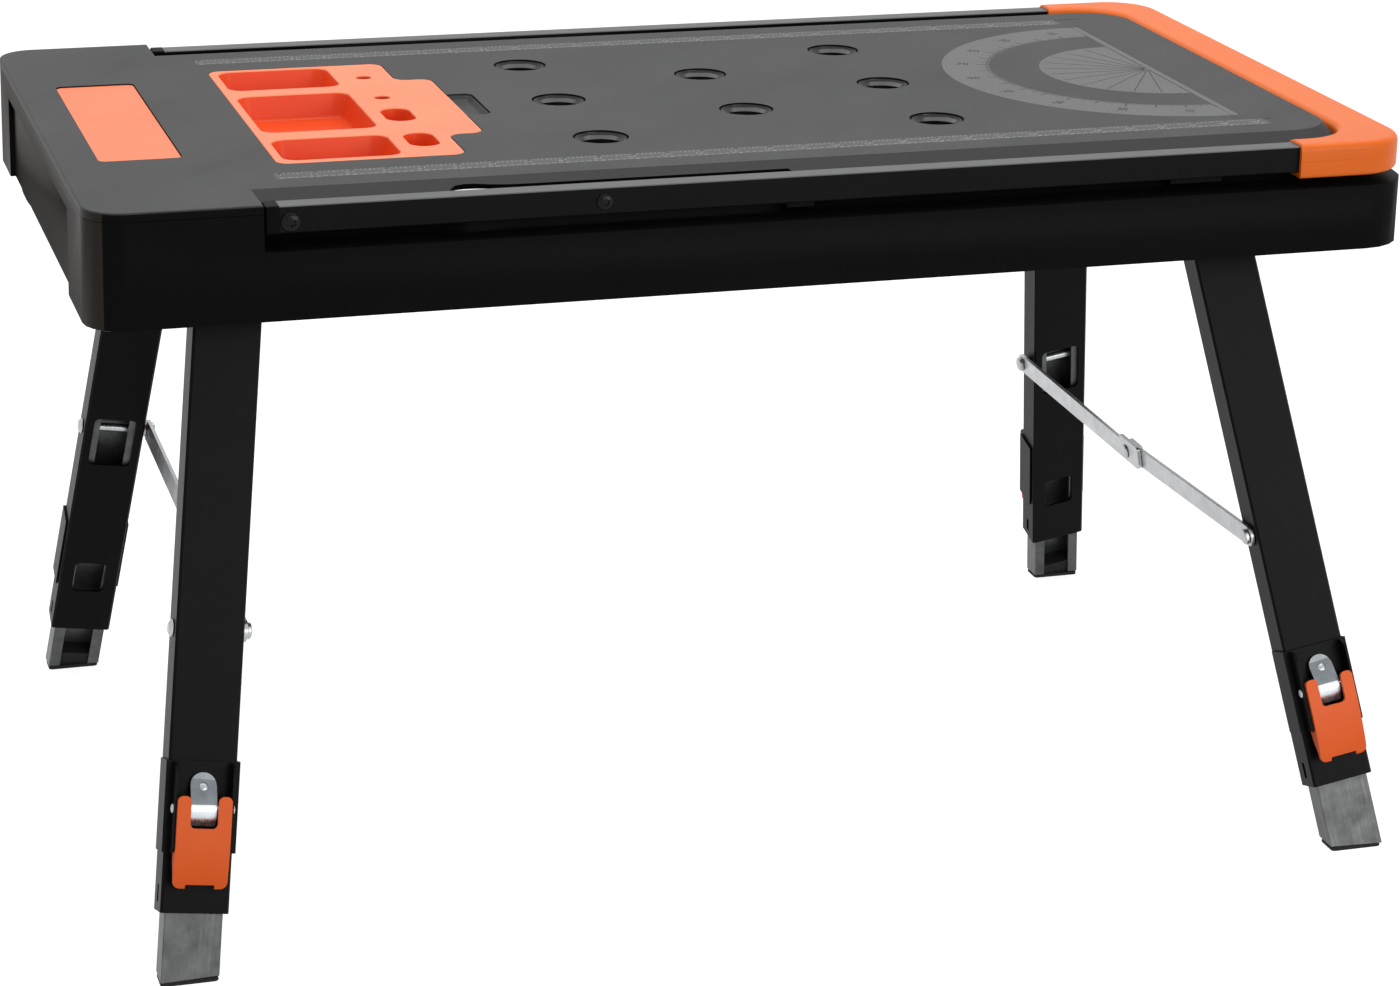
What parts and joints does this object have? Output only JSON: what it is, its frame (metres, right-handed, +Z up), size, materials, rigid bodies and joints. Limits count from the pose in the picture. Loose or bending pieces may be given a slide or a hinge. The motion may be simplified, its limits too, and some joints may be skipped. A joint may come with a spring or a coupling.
{
  "type": "mobile workbench",
  "caption": "Folding workbench with a moulded work top, tool tray, clamping holes, pull-out handle, transport wheels and telescopic splayed legs with height latches.",
  "frame": {"origin": "on the floor under the middle of the body", "axes": "+X along the length toward the handle, +Y across toward the far side, +Z up"},
  "size_m": [0.9764, 0.6462, 0.54],
  "materials": {
    "top_cover": "matte black moulded plastic",
    "body_frame": "matte black moulded plastic",
    "label_plate": "matte orange moulded plastic",
    "wheel_axle": "bright zinc plate on steel",
    "tool_tray": "matte orange moulded plastic",
    "handle": "matte orange moulded plastic",
    "rail_near": "black powder coat on steel",
    "rail_far": "black powder coat on steel",
    "rail_screw_near_1": "bright zinc plate on steel",
    "rail_screw_near_2": "bright zinc plate on steel",
    "rail_screw_far_1": "bright zinc plate on steel",
    "rail_screw_far_2": "bright zinc plate on steel",
    "wheel_near": "matte black rubber",
    "wheel_far": "matte black rubber",
    "left_hinge_beam": "black powder coat on steel",
    "left_near_hinge_pin": "bright zinc plate on steel",
    "left_far_hinge_pin": "bright zinc plate on steel",
    "left_near_outer_tube": "black powder coat on steel",
    "left_near_latch_bracket": "black powder coat on steel",
    "left_near_latch_axle": "bright zinc plate on steel",
    "left_near_latch_strap": "bright zinc plate on steel",
    "left_near_stay_bolt": "bright zinc plate on steel",
    "left_near_inner_leg": "bright zinc plate on steel",
    "left_near_foot": "matte black rubber",
    "left_near_latch_lever": "matte orange moulded plastic",
    "left_near_stay_link": "bright zinc plate on steel",
    "left_far_outer_tube": "black powder coat on steel",
    "left_far_latch_bracket": "black powder coat on steel",
    "left_far_latch_axle": "bright zinc plate on steel",
    "left_far_latch_strap": "bright zinc plate on steel",
    "left_far_stay_bolt": "bright zinc plate on steel",
    "left_far_inner_leg": "bright zinc plate on steel",
    "left_far_foot": "matte black rubber",
    "left_far_latch_lever": "matte orange moulded plastic",
    "left_far_stay_link": "bright zinc plate on steel",
    "left_stay_rivet": "bright zinc plate on steel",
    "right_hinge_beam": "black powder coat on steel",
    "right_near_hinge_pin": "bright zinc plate on steel",
    "right_far_hinge_pin": "bright zinc plate on steel",
    "right_near_outer_tube": "black powder coat on steel",
    "right_near_latch_bracket": "black powder coat on steel",
    "right_near_latch_axle": "bright zinc plate on steel",
    "right_near_latch_strap": "bright zinc plate on steel",
    "right_near_stay_bolt": "bright zinc plate on steel",
    "right_near_inner_leg": "bright zinc plate on steel",
    "right_near_foot": "matte black rubber",
    "right_near_latch_lever": "matte orange moulded plastic",
    "right_near_stay_link": "bright zinc plate on steel",
    "right_far_outer_tube": "black powder coat on steel",
    "right_far_latch_bracket": "black powder coat on steel",
    "right_far_latch_axle": "bright zinc plate on steel",
    "right_far_latch_strap": "bright zinc plate on steel",
    "right_far_stay_bolt": "bright zinc plate on steel",
    "right_far_inner_leg": "bright zinc plate on steel",
    "right_far_foot": "matte black rubber",
    "right_far_latch_lever": "matte orange moulded plastic",
    "right_far_stay_link": "bright zinc plate on steel",
    "right_stay_rivet": "bright zinc plate on steel"
  },
  "bodies": {
    "base": {"top_cover": "top_cover", "body_frame": "body_frame", "label_plate": "label_plate", "wheel_axle": "wheel_axle"},
    "tray": {"tool_tray": "tool_tray"},
    "handle_frame": {"handle": "handle", "rail_near": "rail_near", "rail_far": "rail_far", "rail_screw_near_1": "rail_screw_near_1", "rail_screw_near_2": "rail_screw_near_2", "rail_screw_far_1": "rail_screw_far_1", "rail_screw_far_2": "rail_screw_far_2"},
    "wheel_near_body": {"wheel_near": "wheel_near"},
    "wheel_far_body": {"wheel_far": "wheel_far"},
    "left_beam": {"left_hinge_beam": "left_hinge_beam", "left_near_hinge_pin": "left_near_hinge_pin", "left_far_hinge_pin": "left_far_hinge_pin"},
    "left_near_leg": {"left_near_outer_tube": "left_near_outer_tube", "left_near_latch_bracket": "left_near_latch_bracket", "left_near_latch_axle": "left_near_latch_axle", "left_near_latch_strap": "left_near_latch_strap", "left_near_stay_bolt": "left_near_stay_bolt"},
    "left_near_inner": {"left_near_inner_leg": "left_near_inner_leg", "left_near_foot": "left_near_foot"},
    "left_near_lever": {"left_near_latch_lever": "left_near_latch_lever"},
    "left_near_stay": {"left_near_stay_link": "left_near_stay_link"},
    "left_far_leg": {"left_far_outer_tube": "left_far_outer_tube", "left_far_latch_bracket": "left_far_latch_bracket", "left_far_latch_axle": "left_far_latch_axle", "left_far_latch_strap": "left_far_latch_strap", "left_far_stay_bolt": "left_far_stay_bolt"},
    "left_far_inner": {"left_far_inner_leg": "left_far_inner_leg", "left_far_foot": "left_far_foot"},
    "left_far_lever": {"left_far_latch_lever": "left_far_latch_lever"},
    "left_far_stay": {"left_far_stay_link": "left_far_stay_link", "left_stay_rivet": "left_stay_rivet"},
    "right_beam": {"right_hinge_beam": "right_hinge_beam", "right_near_hinge_pin": "right_near_hinge_pin", "right_far_hinge_pin": "right_far_hinge_pin"},
    "right_near_leg": {"right_near_outer_tube": "right_near_outer_tube", "right_near_latch_bracket": "right_near_latch_bracket", "right_near_latch_axle": "right_near_latch_axle", "right_near_latch_strap": "right_near_latch_strap", "right_near_stay_bolt": "right_near_stay_bolt"},
    "right_near_inner": {"right_near_inner_leg": "right_near_inner_leg", "right_near_foot": "right_near_foot"},
    "right_near_lever": {"right_near_latch_lever": "right_near_latch_lever"},
    "right_near_stay": {"right_near_stay_link": "right_near_stay_link"},
    "right_far_leg": {"right_far_outer_tube": "right_far_outer_tube", "right_far_latch_bracket": "right_far_latch_bracket", "right_far_latch_axle": "right_far_latch_axle", "right_far_latch_strap": "right_far_latch_strap", "right_far_stay_bolt": "right_far_stay_bolt"},
    "right_far_inner": {"right_far_inner_leg": "right_far_inner_leg", "right_far_foot": "right_far_foot"},
    "right_far_lever": {"right_far_latch_lever": "right_far_latch_lever"},
    "right_far_stay": {"right_far_stay_link": "right_far_stay_link", "right_stay_rivet": "right_stay_rivet"}
  },
  "joints": [
    {"name": "handle_slide", "type": "slide", "parent": "base", "child": "handle_frame", "axis": [1, 0, 0], "range_m": [0, 0.3]},
    {"name": "tray_lift", "type": "slide", "parent": "base", "child": "tray", "axis": [0, 0, 1], "range_m": [0, 0.12]},
    {"name": "wheel_near_spin", "type": "hinge", "parent": "base", "child": "wheel_near_body", "pos_m": [-0.46115, -0.166, 0.453], "axis": [0, 1, 0], "continuous": true},
    {"name": "wheel_far_spin", "type": "hinge", "parent": "base", "child": "wheel_far_body", "pos_m": [-0.46115, 0.166, 0.453], "axis": [0, 1, 0], "continuous": true},
    {"name": "left_fold", "type": "hinge", "parent": "base", "child": "left_beam", "pos_m": [-0.37495, 0, 0.484], "axis": [0, -1, 0], "range_deg": [0, 98.08]},
    {"name": "left_near_splay", "type": "hinge", "parent": "left_beam", "child": "left_near_leg", "pos_m": [-0.37495, -0.1559, 0.484], "axis": [0.9901, 0, -0.1406], "range_deg": [0, 17.54]},
    {"name": "left_near_stay_turn", "type": "hinge", "parent": "left_near_leg", "child": "left_near_stay", "pos_m": [-0.41088, -0.23662, 0.23098], "axis": [0.9901, 0, -0.1406], "range_deg": [0, 32.74]},
    {"name": "left_near_extend", "type": "slide", "parent": "left_near_leg", "child": "left_near_inner", "axis": [0.1341, 0.3012, 0.9441], "range_m": [-0.16, 0.04]},
    {"name": "left_near_lever_turn", "type": "hinge", "parent": "left_near_leg", "child": "left_near_lever", "pos_m": [-0.42661, -0.294, 0.12018], "axis": [0.9901, 0, -0.1406], "range_deg": [-65, 0]},
    {"name": "left_far_splay", "type": "hinge", "parent": "left_beam", "child": "left_far_leg", "pos_m": [-0.37495, 0.1559, 0.484], "axis": [-0.9901, 0, 0.1406], "range_deg": [0, 17.54]},
    {"name": "left_far_stay_turn", "type": "hinge", "parent": "left_far_leg", "child": "left_far_stay", "pos_m": [-0.41088, 0.23662, 0.23098], "axis": [-0.9901, 0, 0.1406], "range_deg": [0, 32.74]},
    {"name": "left_far_extend", "type": "slide", "parent": "left_far_leg", "child": "left_far_inner", "axis": [0.1341, -0.3012, 0.9441], "range_m": [-0.16, 0.04]},
    {"name": "left_far_lever_turn", "type": "hinge", "parent": "left_far_leg", "child": "left_far_lever", "pos_m": [-0.42661, 0.294, 0.12018], "axis": [-0.9901, 0, 0.1406], "range_deg": [-65, 0]},
    {"name": "right_fold", "type": "hinge", "parent": "base", "child": "right_beam", "pos_m": [0.36775, 0, 0.484], "axis": [0, 1, 0], "range_deg": [0, 99.59]},
    {"name": "right_near_splay", "type": "hinge", "parent": "right_beam", "child": "right_near_leg", "pos_m": [0.36775, -0.1485, 0.484], "axis": [0.986, 0, 0.1666], "range_deg": [0, 26.49]},
    {"name": "right_near_stay_turn", "type": "hinge", "parent": "right_near_leg", "child": "right_near_stay", "pos_m": [0.41011, -0.23345, 0.23337], "axis": [0.986, 0, 0.1666], "range_deg": [0, 36.57]},
    {"name": "right_near_extend", "type": "slide", "parent": "right_near_leg", "child": "right_near_inner", "axis": [-0.158, 0.317, 0.9352], "range_m": [-0.16, 0.04]},
    {"name": "right_near_lever_turn", "type": "hinge", "parent": "right_near_leg", "child": "right_near_lever", "pos_m": [0.42859, -0.29267, 0.12398], "axis": [0.986, 0, 0.1666], "range_deg": [-65, 0]},
    {"name": "right_far_splay", "type": "hinge", "parent": "right_beam", "child": "right_far_leg", "pos_m": [0.36775, 0.1485, 0.484], "axis": [-0.986, 0, -0.1666], "range_deg": [0, 26.49]},
    {"name": "right_far_stay_turn", "type": "hinge", "parent": "right_far_leg", "child": "right_far_stay", "pos_m": [0.41011, 0.23345, 0.23337], "axis": [-0.986, 0, -0.1666], "range_deg": [0, 36.57]},
    {"name": "right_far_extend", "type": "slide", "parent": "right_far_leg", "child": "right_far_inner", "axis": [-0.158, -0.317, 0.9352], "range_m": [-0.16, 0.04]},
    {"name": "right_far_lever_turn", "type": "hinge", "parent": "right_far_leg", "child": "right_far_lever", "pos_m": [0.42859, 0.29267, 0.12398], "axis": [-0.986, 0, -0.1666], "range_deg": [-65, 0]}
  ],
  "couplings": [
    {"joint": "left_near_splay", "follows": "left_fold", "ratio": 0.17873},
    {"joint": "left_near_stay_turn", "follows": "left_fold", "ratio": 0.33366},
    {"joint": "left_far_splay", "follows": "left_fold", "ratio": 0.17873},
    {"joint": "left_far_stay_turn", "follows": "left_fold", "ratio": 0.33366},
    {"joint": "right_near_splay", "follows": "right_fold", "ratio": 0.26588},
    {"joint": "right_near_stay_turn", "follows": "right_fold", "ratio": 0.36705},
    {"joint": "right_far_splay", "follows": "right_fold", "ratio": 0.26588},
    {"joint": "right_far_stay_turn", "follows": "right_fold", "ratio": 0.36705}
  ]
}
